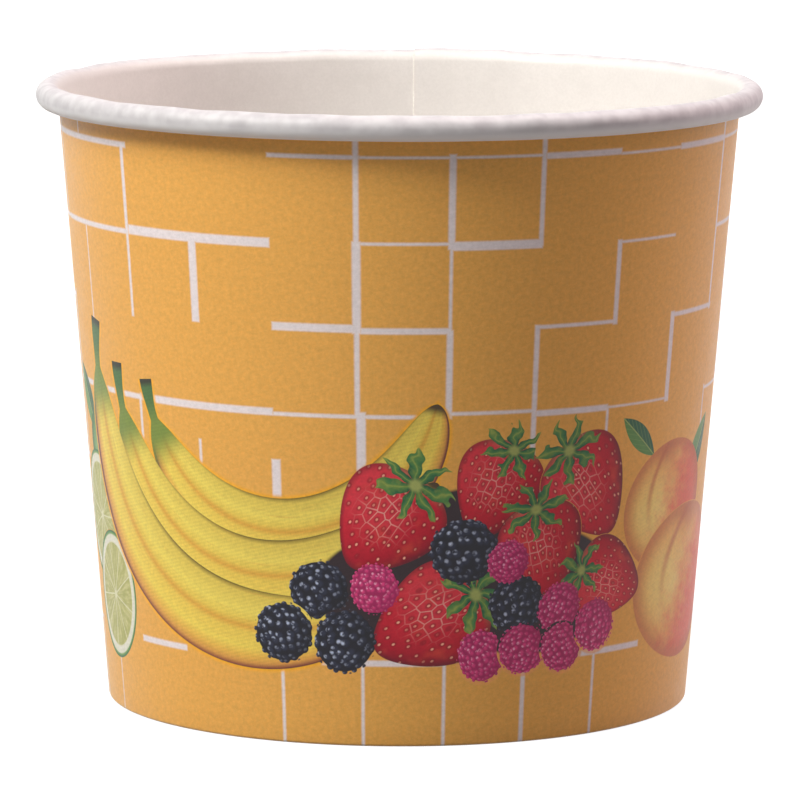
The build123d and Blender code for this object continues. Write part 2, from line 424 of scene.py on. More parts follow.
def buildRoundPaint():
    s, takes = newGroup("roundPaint", [
        *fruitTakes, ("Light", "Color"), ("Body", "Color"), ("Blush", "Color"), ("Shade", "Color"),
        ("Crease", "Float")], paintGives)
    x, y, seed = s.along(takes["Vector"])
    flat = s.join(x, y)
    mottle = s.noise(s.vector("ADD", flat, s.join(seed, seed)), 5.0, 4.0, 0.6)
    lean = s.math("ADD", s.times(x, 0.8), s.times(y, -0.35))
    lean = s.math("ADD", lean, s.scaled(mottle, 0.9, -0.42))
    glow = s.fade(s.vector("DISTANCE", flat, (-0.42, 0.0, 0.0)), 0.75, 0.1)
    curve = s.scaled(s.times(y, y), 0.5, -0.5)
    groove = s.fade(s.math("ABSOLUTE", s.less(x, curve)), 0.09, 0.0)
    groove = s.times(groove, s.fade(y, -0.5, 0.6))
    dimple = s.fade(s.vector("DISTANCE", flat, (-0.06, 0.9, 0.0)), 0.42, 0.0)
    rows = s.math("SINE", s.times(s.vector("DISTANCE", flat, (-1.3, -1.1, 0.0)), 118.0))
    body = s.coat(
        takes["Body"],
        (glow, takes["Light"]),
        (s.fade(lean, -0.35, 0.45), takes["Blush"]),
        (s.times(groove, takes["Crease"]), takes["Shade"]),
        (s.times(dimple, takes["Crease"]), takes["Shade"]),
        (s.fade(takes["Rim"], 0.7, 1.0, 0.0, 0.75), takes["Shade"]),
        (s.fade(rows, 0.2, 1.0, 0.0, 0.05), takes["Shade"]),
    )
    return s.close(Color=body, Mask=s.fade(takes["Rim"], 1.0, 0.985))


def buildLeafPaint():
    s, takes = newGroup("leafPaint", [("Vector", "Vector")], paintGives)
    x, y = s.along(takes["Vector"], "xy")
    room = s.less(1.0, s.times(x, x))
    side = s.math("ABSOLUTE", y)
    veins = s.math("SINE", s.times(s.less(x, s.times(side, 0.7)), 22.0))
    green = s.coat(
        ink(40, 92, 62),
        (s.fade(y, -0.15, 0.2), ink(92, 138, 72)),
        (s.fade(veins, 0.8, 1.0, 0.0, 0.4), ink(142, 170, 96)),
        (s.fade(side, 0.07, 0.03), ink(156, 176, 104)),
    )
    return s.close(Color=green, Mask=s.fade(s.less(side, room), 0.0, -0.05))


def buildCalyxPaint():
    s, takes = newGroup("calyxPaint", [("Vector", "Vector")], paintGives)
    x, y, seed = s.along(takes["Vector"])
    reach = s.vector("LENGTH", s.join(x, y))
    turn = s.scaled(s.math("ARCTAN2", y, x), 7.0 / (2.0 * math.pi), seed)
    crook = s.times(s.less(s.noise(s.join(x, y, seed), 2.4, 1.0), 0.5), 1.1)
    turn = s.math("ADD", turn, crook)
    between = s.times(s.math("ABSOLUTE", s.less(s.math("FRACT", turn), 0.5)), 2.0)
    lobe = s.scaled(s.math("POWER", between, 1.15), -0.8, 1.0)
    green = s.ramp(between, [
        (0.0, 150, 166, 84), (0.14, 84, 134, 72), (0.5, 44, 104, 66), (0.9, 26, 66, 48),
    ])
    mottle = s.noise(s.join(x, y, seed), 5.0)
    green = s.coat(green, (s.fade(mottle, 0.45, 0.7, 0.0, 0.6), ink(122, 146, 70)),
                   (s.fade(reach, 0.22, 0.08), ink(168, 178, 104)))
    return s.close(Color=green, Mask=s.fade(s.less(reach, lobe), 0.0, -0.04))


# The fruit band: generic fruit in a layout of its own, back to front within each kind.
# A fruit is (x, y, half width, half height, turn in degrees).
fruitBand = {
    "wholeLimes": [(-48.6, 35.4, 6.2, 6, 20)],
    "limeSlices": [(-52.4, 25.6, 7.6, 8.8, 8), (-49, 15.6, 6.8, 8.6, -6)],
    "bananas": [  # centre, radius, from the middle of the arc: turn, half turn, half width
        (-15.6, 48.4, 20.8, 6, 74, 4.7), (-17.2, 47.4, 25.6, -8, 68, 5),
        (-17.2, 46.4, 31.8, -31, 58, 5.7),
    ],
    "gaps": [(2, 20.5, 13, 8, 0), (18, 20, 13, 8.5, 0), (9, 28, 8, 6, 0)],
    "peaches": [(42.8, 28.8, 10.4, 8.6, 8), (49.6, 17.8, 14.2, 10.4, -4)],
    "leaves": [(50.6, 34.4, 6.4, 2.2, 52), (-54.8, 41, 5.4, 2.2, 125), (34.6, 38.6, 4.4, 1.6, 140)],
    "strawberries": [
        (12.6, 33.4, 5.6, 6.6, -24), (26.2, 32.8, 6.2, 7.4, 34), (-1.6, 29.4, 6.6, 7.4, -38),
        (19.6, 25.2, 5.8, 6.6, 14), (30.6, 20.4, 5.2, 6.2, 72), (4.2, 16.6, 6.6, 8.2, -62),
    ],
    "blackberries": [
        (8.6, 25.6, 4.8, 4.6, 0), (-10.4, 20.4, 4.3, 4.1, 20), (-15.4, 14.6, 4.4, 4.2, 10),
        (-7, 13.8, 4.5, 4.3, 50), (16, 18.4, 4.1, 4.2, 80),
    ],
    "raspberries": [
        (-3, 20.8, 3.4, 3.5, 0), (14.6, 24, 3.1, 3, 30), (22.4, 17.4, 3.7, 3.4, 60),
        (11.2, 11.8, 3.4, 3.7, 15), (17, 12.4, 3.5, 3.6, 75), (23, 12.2, 3.4, 3.5, 40),
        (28.4, 14.6, 3.7, 3.6, 95),
    ],
}

fruitTaper = {"strawberries": 0.4}   # how much wider they are at the top
calyxShares = {"up": 0.84, "wide": 0.86, "high": 0.74}   # of the strawberry's half height and half width


def calyxOf(strawberry):   # the leaves at its top
    x, y, halfWidth, halfHeight, turn = strawberry
    up, angle = calyxShares["up"] * halfHeight, math.radians(turn)
    size = (halfWidth * calyxShares["wide"], halfWidth * calyxShares["high"])
    return (x - math.sin(angle) * up, y + math.cos(angle) * up, *size, turn)


fruitBand["calyxes"] = [calyxOf(strawberry) for strawberry in fruitBand["strawberries"]]

printInks = {
    "ground": ink(240, 180, 92),
    "groundDeep": ink(236, 174, 85),
    "line": ink(240, 230, 233),
    "halo": ink(252, 182, 52),
    "berryHalo": ink(246, 176, 108),
    "gap": ink(44, 30, 36),
}


# The wall is painted panel by panel, so that each point is only asked about the shapes near it

panelGrid = {
    "across": 12,
    "up": 5,
    "height": 79.0,
    "margin": 1.9,       # millimetres round a panel in which a shape still counts
    "fruitReach": 1.1,   # for the parts of a fruit that stand past its own edge
    "arcSteps": 12,      # in half a banana, and in its stalk
    "stalkSteps": 3,
}
printPeriod = math.radians(printSize["period"]) * printSize["reach"]


def panelBox(panel):
    column, row = panel % panelGrid["across"], panel // panelGrid["across"]
    width, height = printPeriod / panelGrid["across"], panelGrid["height"] / panelGrid["up"]
    left, low = column * width - printPeriod / 2, row * height
    return left, low, left + width, low + height


def panelOf(x, y):
    column = int((x / printPeriod + 0.5) * panelGrid["across"])
    row = int(y / panelGrid["height"] * panelGrid["up"])
    column = min(panelGrid["across"] - 1, max(0, column))
    return column + panelGrid["across"] * min(panelGrid["up"] - 1, max(0, row))


def gapTo(box, x, y):
    return math.hypot(max(box[0] - x, 0.0, x - box[2]), max(box[1] - y, 0.0, y - box[3]))


def nearPanel(box, places, spread):  # the places that reach into a panel, with their own numbers
    kept = []
    for number, place in enumerate(places):
        for turn in (-1, 0, 1):
            moved = (place[0] + turn * printPeriod, *place[1:])
            if any(gapTo(box, x, y) < reach + panelGrid["margin"] for x, y, reach in spread(moved)):
                kept.append((number, moved))
    return kept


def strokeSpread(place):
    x, y, halfX, halfY = place
    steps = max(1, math.ceil(max(halfX, halfY)))
    shares = [number / steps for number in range(-steps, steps + 1)]
    return [(x + halfX * share, y + halfY * share, min(halfX, halfY)) for share in shares]


def fruitSpread(place):
    return [(place[0], place[1], max(place[2], place[3]) * panelGrid["fruitReach"])]


def bananaSpread(place):
    x, y, radius, turn, halfTurn, halfWidth = place
    steps = panelGrid["arcSteps"]
    numbers = range(-steps - panelGrid["stalkSteps"], steps + 1)
    angles = [math.radians(turn + halfTurn * number / steps - 90.0) for number in numbers]
    return [(x + radius * math.cos(angle), y + radius * math.sin(angle), halfWidth) for angle in angles]


placeFruitGroup = buildPlaceFruit()
placeBananaGroup = buildPlaceBanana()
printStrokeGroup = buildPrintStroke()
berryGroup = buildBerryPaint()
roundGroup = buildRoundPaint()

farAway = 9.0      # for an edge or a place that no shape has reached yet
pastRim = 2.0      # the same for a rim, which is 1 at a shape's own edge
seedStep = -0.37   # tells one fruit's noise from the next one's


def stampAll(s, where, box, kind):   # lays a kind's stamps over each other, those that come near the box
    isBanana = kind == "bananas"
    group, spread = (placeBananaGroup, bananaSpread) if isBanana else (placeFruitGroup, fruitSpread)
    found = {"Vector": (farAway, farAway, 0.0), "Rim": pastRim, "Edge": farAway}
    near = nearPanel(box, fruitBand[kind], spread)
    for number, place in near:
        if isBanana:
            x, y, radius, turn, halfTurn, halfWidth = place
            size = (radius, radius, 1.0)
            told = {"Half Turn": math.radians(halfTurn), "Half Width": halfWidth / radius}
        else:
            x, y, halfWidth, halfHeight, turn = place
            size = (halfWidth, halfHeight, 1.0)
            told = {"Taper": fruitTaper.get(kind, 0.0), "Under Rim": found["Rim"]}
        found = s.place(group, {
            "Vector": where, "Location": (x, y, seedStep * (number + 1)),
            "Rotation": (0.0, 0.0, math.radians(turn)), "Size": size,
            "Under": found["Vector"], "Under Edge": found["Edge"], **told})
    return found if near else None


# What is laid over the tile lines, from the back: one ink that fades from the edge of each shape,
# or a painter with its colours. The screen is how strongly the press's screen shows on it.
printLayers = [
    {"kind": "raspberries", "ink": printInks["berryHalo"], "fade": (0.32, 0.0, 0.0, 0.7)},
    {"kind": "leaves", "painter": buildLeafPaint()},
    {"kind": "wholeLimes", "painter": roundGroup, "screen": 1.0, "colours": {
        "Light": ink(128, 170, 106), "Body": ink(88, 142, 84), "Blush": ink(58, 116, 74),
        "Shade": ink(38, 84, 56)}},
    {"kind": "limeSlices", "painter": buildCitrusPaint(), "screen": 0.8},
    {"kind": "bananas", "ink": printInks["halo"], "fade": (0.7, 0.0)},
    {"kind": "bananas", "painter": buildBananaPaint(), "screen": 1.6},
    {"kind": "gaps", "ink": printInks["gap"], "fade": (0.1, -0.6)},
    {"kind": "peaches", "painter": roundGroup, "screen": 0.6, "colours": {
        "Light": ink(250, 220, 130), "Body": ink(242, 186, 104), "Blush": ink(230, 104, 78),
        "Shade": ink(196, 108, 66), "Crease": 0.75}},
    {"kind": "strawberries", "painter": buildStrawberryPaint(), "screen": 0.6},
    {"kind": "calyxes", "painter": buildCalyxPaint()},
    {"kind": "blackberries", "painter": berryGroup, "colours": {
        "Beads": 3.6, "Body": ink(42, 46, 66), "Shine": ink(196, 206, 232), "Gap": ink(14, 13, 22)}},
    {"kind": "raspberries", "painter": berryGroup, "colours": {
        "Beads": 4.4, "Body": ink(222, 70, 134), "Shine": ink(255, 190, 222), "Gap": ink(160, 34, 90)}},
]
printGround = {
    "mottle": (1.6, 4.0, 0.75),   # scale, detail and roughness
    "mottleRange": (0.35, 0.65),
    "ragged": (2.6, 2.0),         # scale and detail of the unevenness of the tile lines' edges
    "raggedDepth": 0.07,
    "lineFade": (0.18, -0.18),    # millimetres from the edge of a line
    "screen": 0.3,
}


def printColour(s, where, box):   # gives the colour, and how strongly the press's screen shows
    mottle = s.fade(s.noise(where, *printGround["mottle"]), *printGround["mottleRange"])
    colour = s.mix(mottle, printInks["ground"], printInks["groundDeep"])
    nearest = farAway
    for number, (x, y, halfX, halfY) in nearPanel(box, strokes, strokeSpread):
        nearest = s.place(printStrokeGroup, {
            "Vector": where, "Centre": (x, y, 0.0), "Half": (halfX, halfY, farAway), "Nearest": nearest})[0]
    ragged = s.less(s.noise(where, *printGround["ragged"]), 0.5)
    ragged = s.scaled(ragged, printGround["raggedDepth"], nearest)
    colour = s.mix(s.fade(ragged, *printGround["lineFade"]), colour, printInks["line"])
    screen = printGround["screen"]
    stamps = {kind: stampAll(s, where, box, kind) for kind in fruitBand}
    for layer in printLayers:
        found = stamps[layer["kind"]]
        if not found:
            continue
        if "ink" in layer:
            colour = s.mix(s.fade(found["Edge"], *layer["fade"]), colour, layer["ink"])
            continue
        painter = layer["painter"]
        told = {name: socket for name, socket in found.items() if name in painter.interface.items_tree}
        paint = s.place(painter, {**told, **layer.get("colours", {})})
        colour = s.mix(paint["Mask"], colour, paint["Color"])
        if "screen" in layer:
            screen = s.mix(paint["Mask"], screen, layer["screen"], "FLOAT")
    return colour, screen


pressScreen = {
    "turn": -14.0,             # degrees
    "pitches": (0.34, 0.46),   # millimetres, along and across
    "alongShare": 0.4,
    "strength": 0.05,
}


def screenTone(s, where):  # the fine slanted screen of the press
    turned = s.fill(s.add("ShaderNodeMapping", vector_type="POINT"),
                    {"Vector": where, "Rotation": (0.0, 0.0, math.radians(pressScreen["turn"]))})
    along, across = (s.math("SINE", s.times(part, 2 * math.pi / pitch))
                     for part, pitch in zip(s.along(turned[0], "xy"), pressScreen["pitches"]))
    return s.times(s.math("ADD", s.times(along, pressScreen["alongShare"]), across), 0.5)


print("print groups built:", len(strokes), "tile lines")


printedSide = {
    "speckle": (1.4, 4.0, 0.8),    # scale, detail and roughness of the ink's mottle
    "speckleDepth": 0.55,
    "worn": ink(226, 206, 190),
    "wornHeight": (0.42, 0.08),    # millimetres over the table between which the ink is rubbed off
    "wornShare": 0.75,
    "wornEdge": (1.8, 3.0),        # scale and detail of its unevenness
    "wornEdgeDepth": 0.35,         # millimetres that it wavers, and that it is let down for that
    "wornEdgeDrop": 0.1,
    "roughness": (0.36, 0.46),
    "specular": 0.35,
    "bump": (0.25, 0.00002),       # strength and distance
}


def printedFace(panel):
    material, s, shader = newMaterial(f"printedFace{panel}")
    where = s.add("ShaderNodeUVMap", uv_map="printMap").outputs[0]
    grain = s.place(grainGroup, {"Fibre": 0.5, "Felt": 0.6})
    colour, screen = printColour(s, where, panelBox(panel))
    tone = s.times(screenTone(s, where), s.times(screen, pressScreen["strength"]))
    speckle = s.less(s.noise(where, *printedSide["speckle"]), 0.5)
    tone = s.math("ADD", s.scaled(speckle, printedSide["speckleDepth"], 1.0), tone)
    colour = s.vector("MULTIPLY", colour, s.join(tone, tone, tone))
    height = s.less(s.along(where, "y"), printedSide["wornEdgeDrop"])
    height = s.scaled(s.noise(where, *printedSide["wornEdge"]), printedSide["wornEdgeDepth"], height)
    worn = s.fade(height, *printedSide["wornHeight"], 0.0, printedSide["wornShare"])
    s.fill(shader, {"Base Color": s.mix(worn, colour, printedSide["worn"]),
                    "Roughness": s.fade(grain["Tone"], *roughTones, *printedSide["roughness"]),
                    "Specular IOR Level": printedSide["specular"],
                    "Normal": s.bump(grain["Height"], *printedSide["bump"])})
    return material


coatedSide = {
    "smooth": (ink(230, 227, 224), ink(237, 234, 231)),
    # The curled face is set darker than the smooth face: painted shade on the brim, under a random mottle.
    "brim": (ink(199, 196, 200), ink(216, 214, 217)),
    "brimRadius": (0.0448, 0.0459),   # from here out the curling tool has dented and mottled the face, and the face is painted darker as painted shade
    # The roll's lower half is painted lighter: painted fill light from below.
    "paintedUnderLight": ink(245, 244, 246),
    "paintedUnderLightHeight": (0.0803, 0.0792),   # heights over which the roll's lower half turns lighter: painted light from below
    "blotch": (520.0, 2.0, 0.5),   # scale, detail and roughness
    "dents": (270.0, 1.6, 0.45),
    "dentDepth": 0.00025,
    "roughness": (0.44, 0.56),
    "bump": (0.35, 0.00003),
}


def coatedFace():
    material, s, shader = newMaterial("coatedFace")
    grain = s.place(grainGroup, {"Fibre": 0.5, "Felt": 1.0})
    where = s.add("ShaderNodeTexCoord").outputs["Object"]
    reach = s.vector("LENGTH", s.vector("MULTIPLY", where, (1.0, 1.0, 0.0)))
    curled = s.fade(reach, *coatedSide["brimRadius"])
    smooth = s.mix(s.fade(grain["Tone"], *faceTones), *coatedSide["smooth"])
    blotch = s.fade(s.noise(where, *coatedSide["blotch"]), 0.3, 0.7)
    # the brim's darker colours are painted shade; the blotch between them is a random mottle
    rolled = s.mix(blotch, *coatedSide["brim"])
    # painted light: the roll's lower half turns lighter, as if lit from below
    under = s.fade(s.along(where, "z"), *coatedSide["paintedUnderLightHeight"])
    rolled = s.mix(under, rolled, coatedSide["paintedUnderLight"])
    dents = s.bump(s.noise(where, *coatedSide["dents"]), curled, coatedSide["dentDepth"])
    s.fill(shader, {"Base Color": s.mix(curled, smooth, rolled),
                    "Roughness": s.fade(grain["Tone"], *roughTones, *coatedSide["roughness"]),
                    "Normal": s.bump(grain["Height"], *coatedSide["bump"], dents)})
    return material


bareBoard = {   # the cut edges, and the bottom's board with no print
    "edge": (ink(220, 215, 209), ink(237, 233, 228)),
    "edgeRoughness": 0.85,
    "edgeBump": (0.6, 0.00004),
    "plain": (ink(234, 229, 221), ink(243, 239, 233)),
    "plainRoughness": (0.5, 0.66),
    "plainBump": (0.35, 0.00004),
}


def rawEdge():
    material, s, shader = newMaterial("rawEdge")
    grain = s.place(grainGroup, {"Fibre": 1.4, "Felt": 0.4})
    s.fill(shader, {"Base Color": s.mix(s.fade(grain["Tone"], *edgeTones), *bareBoard["edge"]),
                    "Roughness": bareBoard["edgeRoughness"],
                    "Normal": s.bump(grain["Height"], *bareBoard["edgeBump"])})
    return material


def plainBoard():
    material, s, shader = newMaterial("plainBoard")
    grain = s.place(grainGroup, {"Fibre": 0.7, "Felt": 1.2})
    s.fill(shader, {"Base Color": s.mix(s.fade(grain["Tone"], *faceTones), *bareBoard["plain"]),
                    "Roughness": s.fade(grain["Tone"], *roughTones, *bareBoard["plainRoughness"]),
                    "Normal": s.bump(grain["Height"], *bareBoard["plainBump"])})
    return material


# Board: a sheet followed along its middle line in the section plane, then swept round the axis

sheetMaking = {
    "mergeDistance": 1e-7,
    "sharpAngle": 38.0,   # degrees from which an edge shows as an edge
}


def heading(angle):
    return Vector((math.cos(math.radians(angle)), math.sin(math.radians(angle))))


def stepAlong(point, angle, move, share):   # a share of a move: its end, heading and length
    if len(move) == 3:
        return point + heading(angle) * move[1] * share, angle, move[1] * share
    side = math.copysign(1.0, move[2])
    centre = point + heading(angle + 90.0) * side * move[1]
    facing = angle + move[2] * share
    end = centre - heading(facing + 90.0) * side * move[1]
    return end, facing, abs(math.radians(move[2] * share)) * move[1]


def walkSheet(start, angle, moves):
    # A move is (part, length, steps) for a run, or (part, radius, degrees, steps) for a bend to the left
    samples = []
    point, gone = start, 0.0
    for move in moves:
        for step in range(move[-1]):
            here, facing, walked = stepAlong(point, angle, move, step / move[-1])
            left, length = heading(facing + 90.0), gone + walked
            samples.append({"part": move[0], "point": here, "left": left, "length": length})
        point, angle, walked = stepAlong(point, angle, move, 1.0)
        gone += walked
    samples.append({"part": "end", "point": point, "left": heading(angle + 90.0), "length": gone})
    return samples


def addObject(name, data):
    made = bpy.data.objects.new(name, data)
    bpy.context.scene.collection.objects.link(made)
    return made


def sweepSheet(name, samples, board, columns, lift, paint, mapCorner):
    # A column is (azimuth in degrees, tag). The right side of the sheet goes out along its length,
    # and the left side comes back.
    rows = [(sample, -1) for sample in samples] + [(sample, 1) for sample in reversed(samples)]
    points = []
    for azimuth, _ in columns:
        ray = heading(azimuth).to_3d()
        for sample, side in rows:
            flat = sample["point"] + sample["left"] * side * (board / 2 + lift(sample, side, azimuth))
            points.append(ray * flat.x + Vector((0.0, 0.0, flat.y)))
    count = len(rows)
    faces, places, corners = [], [], []
    for i in range(len(columns)):
        after = (i + 1) % len(columns)
        for j in range(count):
            below = (j + 1) % count
            faces.append((i * count + j, after * count + j, after * count + below, i * count + below))
            places.append((i, j))
            corners.append(((i, j), (i + 1, j), (i + 1, j + 1), (i, j + 1)))
    mesh = bpy.data.meshes.new(name)
    mesh.from_pydata([tuple(point) for point in points], [], faces)
    for material in paint["materials"]:
        mesh.materials.append(material)
    mesh.polygons.foreach_set("material_index", [paint["pick"](rows, columns, i, j) for i, j in places])
    for title in ("OFBake", "printMap"):
        values = []
        for place, four in zip(places, corners):
            for corner in four:
                values.extend(mapCorner(title, rows, columns, place, corner))
        mesh.uv_layers.new(name=title).data.foreach_set("uv", values)
    work = bmesh.new()
    work.from_mesh(mesh)
    bmesh.ops.remove_doubles(work, verts=work.verts, dist=sheetMaking["mergeDistance"])
    work.to_mesh(mesh)
    work.free()
    mesh.polygons.foreach_set("use_smooth", [True] * len(mesh.polygons))
    mesh.set_sharp_from_angle(angle=math.radians(sheetMaking["sharpAngle"]))
    return addObject(name, mesh)


sideWall = {
    "baseRadius": 0.03845,     # of the printed face, carried down to the table
    "board": 0.00038,
    "roll": 0.00335,           # thickness of the rolled brim
    "tuck": 0.00032,           # how much tighter the inside part of the curl is
    "outerTurn": 236.0,
    "innerTurn": 140.0,
    "foldRadius": 0.00006,
    "hemHeight": 0.0060,
    "hemPocket": 0.00044,      # room for the bottom's skirt
    "lapMiddle": 80.0,         # degrees from +X towards +Y
    "lapWidth": 0.0115,
    "lapTop": 0.0785,          # height at which the lap's width is measured
    "feather": 0.0030,
    "cutSlope": 0.00013,       # how far a cut edge of the board slopes
    # Heights between which a layer of the lap comes to stand proud, or runs back in
    "outerLayerFoot": (0.0006, 0.0012),
    "outerLayerTop": (0.0787, 0.0797),
    "innerLayerFoot": (0.0080, 0.0084),   # above the bottom
    "columns": 264,
    "columnRoom": 0.35,        # of a step, kept free beside the columns of the lap
    "steps": {"hem": 5, "crease": 6, "wall": 30, "brim": 30, "tuck": 10},
    "brimRipple": 0.00009,
    "wallRipple": 0.00004,
    "rippleFoot": (0.004, 0.03),   # heights between which the wall's ripple sets in, and dies away
    "rippleTop": (0.06, 0.078),
    "rippleDrift": 160.0,          # degrees to a metre of height
}


def wallLine():
    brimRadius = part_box("side_wall")[1].x
    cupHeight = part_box("side_wall")[1].z - sideWall["board"] / 2   # the lap stands half a board higher
    rollRadius = sideWall["roll"] / 2
    middle = Vector((brimRadius - rollRadius, cupHeight - rollRadius))
    run, rise = middle.x - sideWall["baseRadius"], middle.y
    turnBack = math.asin((rollRadius - sideWall["board"]) / math.hypot(run, rise))
    return brimRadius, rollRadius, middle, math.degrees(math.atan2(run, rise) - turnBack)


brimRadius, rollRadius, rollMiddle, lean = wallLine()


def wallSamples():
    board = sideWall["board"]
    up = 90.0 - lean
    tilt = math.cos(math.radians(lean))
    crease = sideWall["foldRadius"] + board / 2
    flat = (sideWall["hemPocket"] + board) / tilt - 2 * crease
    wallEnd = rollMiddle + heading(up + 90.0) * (rollRadius - board / 2)
    foot = Vector((sideWall["baseRadius"], 0.0)) + heading(up + 90.0) * (board / 2)
    startHeight = board / 2 + crease * (1 - math.cos(math.radians(up)))
    wallStart = foot + heading(up) * ((startHeight - foot.y) / tilt)
    flatEnd = Vector((wallStart.x - crease * math.sin(math.radians(up)), board / 2))
    turnIn = 180.0 - up
    hemFoot = Vector((flatEnd.x - flat - crease * math.sin(math.radians(turnIn)),
                      board / 2 + crease * (1 - math.cos(math.radians(turnIn)))))
    hemRun = (sideWall["hemHeight"] - hemFoot.y) / tilt
    curl = rollRadius - board / 2
    steps = sideWall["steps"]
    return walkSheet(hemFoot + heading(up) * hemRun, up + 180.0, [
        ("hem", hemRun, steps["hem"]),
        ("fold", crease, turnIn, steps["crease"]),
        ("fold", flat, 1),
        ("fold", crease, up, steps["crease"]),
        ("wall", (wallEnd - wallStart).length, steps["wall"]),
        ("brim", curl, -sideWall["outerTurn"], steps["brim"]),
        ("tuck", curl - sideWall["tuck"], -sideWall["innerTurn"], steps["tuck"]),
    ])


topRadius = sideWall["baseRadius"] + sideWall["lapTop"] * math.tan(math.radians(lean))
lapTurn = math.degrees(sideWall["lapWidth"] / topRadius)
lapStart = sideWall["lapMiddle"] - lapTurn / 2
lapEnd = sideWall["lapMiddle"] + lapTurn / 2
featherTurn = math.degrees(sideWall["feather"] / brimRadius)
edgeTurn = math.degrees(sideWall["cutSlope"] / brimRadius)


def smoothStep(value, low, high):
    share = min(1.0, max(0.0, (value - low) / (high - low)))
    return share * share * (3 - 2 * share)


def wallColumns():
    # From the outer raw edge once round; the tags say on which side of a raw edge a column stands
    fixed = [(lapStart, "after"), (lapEnd, "before"), (lapEnd + edgeTurn, "after"),
             (lapEnd + featherTurn, ""), (lapStart + 360.0 - featherTurn, ""),
             (lapStart + 360.0 - edgeTurn, "before")]
    step = 360.0 / sideWall["columns"]
    columns = list(fixed)
    for number in range(sideWall["columns"]):
        azimuth = lapStart + number * step
        if min(abs(azimuth - taken[0]) for taken in fixed) > step * sideWall["columnRoom"]:
            columns.append((azimuth, ""))
    order = {"before": 0, "": 1, "after": 2}
    return sorted(columns, key=lambda column: (round(column[0], 6), order[column[1]]))


def ripple(azimuth, kind):
    angle = math.radians(azimuth)
    return sum(size * math.sin(turns * angle + phase) for turns, phase, size in ripples[kind])


# Waves in the brim and the wall: (turns round the cup, phase, size)
ripples = {
    "brim": [(3, 0.4, 0.5), (7, 1.9, 0.5), (11, 0.2, 0.6), (17, 2.7, 0.8), (23, 4.4, 0.9), (31, 1.1, 0.7),
             (41, 5.2, 0.4)],
    "roll": [(5, 2.2, 0.6), (13, 0.9, 0.7), (19, 3.3, 0.8), (27, 5.6, 0.6), (37, 2.4, 0.5)],
    "wall": [(2, 0.7, 1.0), (5, 2.1, 0.8), (9, 4.0, 0.6), (14, 1.3, 0.4)],
}
brimWave = {
    "fullness": 0.7,   # under 1 the waves set in sooner at both ends of the roll
    "turn": 2.6,       # how the waves change from the top of the roll to its underside
    "middle": 0.35,
    "rollMiddle": 0.3,
    "share": 0.42,
    "sunk": 0.9,       # keeps the waves about inside the plain roll
}


def wallLift(sample, side, azimuth):   # how far a face of the wall stands off its plain place
    part, height = sample["part"], sample["point"].y
    turned = azimuth - 360.0 if azimuth > lapStart + 180.0 else azimuth
    step = sideWall["board"] / 2
    lift = 0.0
    if side < 0 and part == "wall":   # the outer layer, its raw edge at the start of the lap
        share = 1.0 - min(1.0, max(0.0, (turned - lapEnd) / featherTurn)) if turned >= lapStart else 0.0
        top = 1.0 - smoothStep(height, *sideWall["outerLayerTop"])
        lift += step * share * smoothStep(height, *sideWall["outerLayerFoot"]) * top
    if side > 0 and part in ("wall", "brim"):   # the inner layer, its raw edge at the end
        share = min(1.0, max(0.0, (turned - lapStart + featherTurn) / featherTurn))
        if turned <= lapEnd + 1e-6:
            lift += step * share * smoothStep(height, *sideWall["innerLayerFoot"])
    if part == "brim":
        swing = sample["swing"]
        bell = math.sin(math.pi * min(1.0, swing)) ** brimWave["fullness"]
        wave = ripple(azimuth, "brim") * math.cos(brimWave["turn"] * (swing - brimWave["middle"]))
        wave += ripple(azimuth, "roll") * (swing - brimWave["rollMiddle"])
        lift += side * sideWall["brimRipple"] * bell * (brimWave["share"] * wave - brimWave["sunk"])
    if part == "wall":
        top = 1.0 - smoothStep(height, *sideWall["rippleTop"])
        bell = smoothStep(height, *sideWall["rippleFoot"]) * top
        drifted = azimuth + height * sideWall["rippleDrift"]
        lift += side * sideWall["wallRipple"] * bell * ripple(drifted, "wall")
    return lift


bakeMap = {   # the printed face fills four strips, and the rest of the sheet one band under them
    "margin": 0.005,
    "strip": (0.49, 0.39),
    "stripPitch": (0.5, 0.4),
    "bandHeight": 0.19,
    "bandPitch": 0.2,
    "strips": 4,
    "foldRows": 8,   # rows of the folds under the wall that belong to the strips
}


